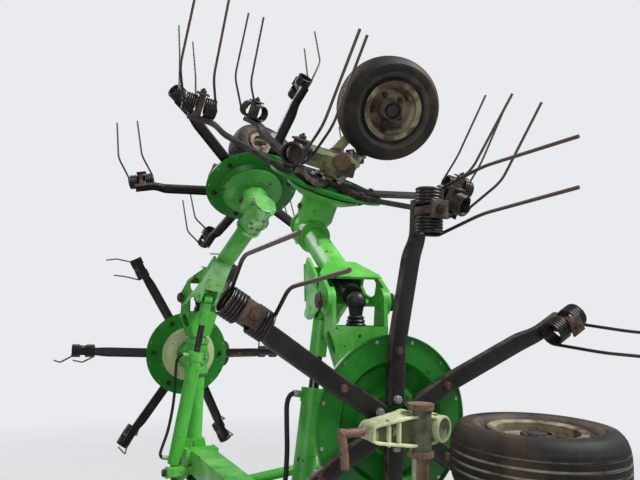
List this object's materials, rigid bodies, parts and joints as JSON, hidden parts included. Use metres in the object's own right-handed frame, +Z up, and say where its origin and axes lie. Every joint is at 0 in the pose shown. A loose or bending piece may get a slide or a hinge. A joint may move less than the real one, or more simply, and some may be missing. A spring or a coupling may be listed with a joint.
{
  "type": "rotary hay tedder",
  "caption": "Mounted rotary hay tedder with folding wings, spring-tined rotors on ground wheels, fold cylinders, a three-point headstock and a parking leg.",
  "frame": {"origin": "on the ground, in the middle of the parked tedder", "axes": "+X to the machine's right, +Y forward to the hitch, +Z up"},
  "size_m": [3.355, 1.6276, 3.1871],
  "materials": {
    "green_paint": "bright green paint, scratched, with rust at the edges",
    "black_paint": "black paint, worn to grey at the edges",
    "leg_paint": "dirty cream paint over a casting",
    "wheel_paint": "dirty cream paint",
    "spring_steel": "dark rusty spring steel",
    "bright_steel": "bare steel",
    "hose_rubber": "black hose",
    "rubber": "black ribbed tyre with dust"
  },
  "bodies": {
    "frame": {"cross_beam": "green_paint", "centre_drive": "green_paint", "headstock": "green_paint", "leg_centre_left": "leg_paint", "leg_centre_right": "leg_paint", "base_guard_left": "black_paint", "base_guard_right": "black_paint"},
    "mid_wing_left": {"wing_mid_left": "green_paint", "knee_guard_left": "black_paint", "leg_mid_left": "leg_paint"},
    "outer_wing_left": {"wing_outer_left": "green_paint", "outer_guard_left": "black_paint", "leg_outer_left": "leg_paint"},
    "cylinder_left": {"barrel_left": "green_paint", "hose_left": "hose_rubber"},
    "piston_left": {"rod_left": "bright_steel"},
    "mid_wing_right": {"wing_mid_right": "green_paint", "knee_guard_right": "black_paint", "leg_mid_right": "leg_paint"},
    "outer_wing_right": {"wing_outer_right": "green_paint", "outer_guard_right": "black_paint", "leg_outer_right": "leg_paint"},
    "cylinder_right": {"barrel_right": "green_paint", "hose_right": "hose_rubber"},
    "piston_right": {"rod_right": "bright_steel"},
    "rotor_centre_left": {"disc_centre_left": "green_paint", "arms_centre_left": "black_paint", "tines_centre_left": "spring_steel"},
    "wheel_centre_left": {"tyre_centre_left": "rubber", "rim_centre_left": "wheel_paint"},
    "rotor_centre_right": {"disc_centre_right": "green_paint", "arms_centre_right": "black_paint", "tines_centre_right": "spring_steel"},
    "wheel_centre_right": {"tyre_centre_right": "rubber", "rim_centre_right": "wheel_paint"},
    "rotor_mid_left": {"disc_mid_left": "green_paint", "arms_mid_left": "black_paint", "tines_mid_left": "spring_steel"},
    "wheel_mid_left": {"tyre_mid_left": "rubber", "rim_mid_left": "wheel_paint"},
    "rotor_mid_right": {"disc_mid_right": "green_paint", "arms_mid_right": "black_paint", "tines_mid_right": "spring_steel"},
    "wheel_mid_right": {"tyre_mid_right": "rubber", "rim_mid_right": "wheel_paint"},
    "rotor_outer_left": {"disc_outer_left": "green_paint", "arms_outer_left": "black_paint", "tines_outer_left": "spring_steel"},
    "wheel_outer_left": {"tyre_outer_left": "rubber", "rim_outer_left": "wheel_paint"},
    "rotor_outer_right": {"disc_outer_right": "green_paint", "arms_outer_right": "black_paint", "tines_outer_right": "spring_steel"},
    "wheel_outer_right": {"tyre_outer_right": "rubber", "rim_outer_right": "wheel_paint"},
    "stand": {"parking_leg": "bright_steel"}
  },
  "joints": [
    {"name": "fold_left", "type": "hinge", "parent": "frame", "child": "mid_wing_left", "pos_m": [-0.9, -0.11, 0.7775], "axis": [0, 1, 0], "range_deg": [-92, 2]},
    {"name": "knee_left", "type": "hinge", "parent": "mid_wing_left", "child": "outer_wing_left", "pos_m": [-0.9, -0.11, 1.7675], "axis": [-0.2079, 0.9781, 0], "range_deg": [-55.5, 1.3]},
    {"name": "cylinder_swing_left", "type": "hinge", "parent": "frame", "child": "cylinder_left", "pos_m": [-0.765, -0.252, 0.8475], "axis": [-0.032, 0.9992, -0.022], "range_deg": [-95.18, 2.16]},
    {"name": "piston_slide_left", "type": "slide", "parent": "cylinder_left", "child": "piston_left", "axis": [0.0783, 0.1384, 0.9873], "range_m": [-0.0096, 0.3943]},
    {"name": "fold_right", "type": "hinge", "parent": "frame", "child": "mid_wing_right", "pos_m": [0.9, -0.11, 0.7775], "axis": [0, -1, 0], "range_deg": [-92, 2]},
    {"name": "knee_right", "type": "hinge", "parent": "mid_wing_right", "child": "outer_wing_right", "pos_m": [0.9, -0.11, 1.7675], "axis": [-0.2079, -0.9781, 0], "range_deg": [-67.77, 1.57]},
    {"name": "cylinder_swing_right", "type": "hinge", "parent": "frame", "child": "cylinder_right", "pos_m": [0.765, -0.252, 0.8475], "axis": [-0.032, -0.9992, 0.022], "range_deg": [-94.64, 2.15]},
    {"name": "piston_slide_right", "type": "slide", "parent": "cylinder_right", "child": "piston_right", "axis": [-0.0757, 0.1435, 0.9867], "range_m": [-0.0105, 0.4391]},
    {"name": "spin_centre_left", "type": "hinge", "parent": "frame", "child": "rotor_centre_left", "pos_m": [-0.52, -0.11, 0.5625], "axis": [0, 0, 1], "continuous": true},
    {"name": "roll_centre_left", "type": "hinge", "parent": "frame", "child": "wheel_centre_left", "pos_m": [-0.49, -0.28, 0.2025], "axis": [-1, 0, 0], "continuous": true},
    {"name": "spin_centre_right", "type": "hinge", "parent": "frame", "child": "rotor_centre_right", "pos_m": [0.52, -0.11, 0.5625], "axis": [0, 0, 1], "continuous": true},
    {"name": "roll_centre_right", "type": "hinge", "parent": "frame", "child": "wheel_centre_right", "pos_m": [0.49, -0.28, 0.2025], "axis": [1, 0, 0], "continuous": true},
    {"name": "spin_mid_left", "type": "hinge", "parent": "mid_wing_left", "child": "rotor_mid_left", "pos_m": [-1.115, -0.11, 1.4375], "axis": [1, 0, 0], "continuous": true},
    {"name": "roll_mid_left", "type": "hinge", "parent": "mid_wing_left", "child": "wheel_mid_left", "pos_m": [-1.475, 0.06, 1.4075], "axis": [0, 0, 1], "continuous": true},
    {"name": "spin_mid_right", "type": "hinge", "parent": "mid_wing_right", "child": "rotor_mid_right", "pos_m": [1.115, -0.11, 1.4375], "axis": [-1, 0, 0], "continuous": true},
    {"name": "roll_mid_right", "type": "hinge", "parent": "mid_wing_right", "child": "wheel_mid_right", "pos_m": [1.475, 0.06, 1.4075], "axis": [0, 0, 1], "continuous": true},
    {"name": "spin_outer_left", "type": "hinge", "parent": "outer_wing_left", "child": "rotor_outer_left", "pos_m": [-0.46836, 0.02745, 2.35496], "axis": [0.6056, -0.0838, -0.7913], "continuous": true},
    {"name": "roll_outer_left", "type": "hinge", "parent": "outer_wing_left", "child": "wheel_outer_left", "pos_m": [-0.72101, 0.18027, 2.60035], "axis": [0.7913, 0.1682, 0.5878], "continuous": true},
    {"name": "spin_outer_right", "type": "hinge", "parent": "outer_wing_right", "child": "rotor_outer_right", "pos_m": [0.35852, 0.05079, 2.2484], "axis": [-0.4324, -0.1207, -0.8936], "continuous": true},
    {"name": "roll_outer_right", "type": "hinge", "parent": "outer_wing_right", "child": "wheel_outer_right", "pos_m": [0.55667, 0.2152, 2.5332], "axis": [-0.8936, 0.1899, 0.4067], "continuous": true},
    {"name": "stand_slide", "type": "slide", "parent": "frame", "child": "stand", "axis": [0, 0, 1], "range_m": [0, 0.35]}
  ],
  "couplings": [
    {"joint": "knee_left", "follows": "fold_left", "ratio": 0.6},
    {"joint": "cylinder_swing_left", "follows": "fold_left", "ratio": 1.0313},
    {"joint": "piston_slide_left", "follows": "fold_left", "m_per_rad": -0.24497},
    {"joint": "knee_right", "follows": "fold_right", "ratio": 0.73333},
    {"joint": "cylinder_swing_right", "follows": "fold_right", "ratio": 1.0254},
    {"joint": "piston_slide_right", "follows": "fold_right", "m_per_rad": -0.27283},
    {"joint": "spin_centre_left", "follows": "spin_centre_right", "ratio": -1},
    {"joint": "spin_mid_left", "follows": "spin_centre_right", "ratio": 1},
    {"joint": "spin_mid_right", "follows": "spin_centre_right", "ratio": -1},
    {"joint": "spin_outer_left", "follows": "spin_centre_right", "ratio": -1},
    {"joint": "spin_outer_right", "follows": "spin_centre_right", "ratio": 1}
  ]
}
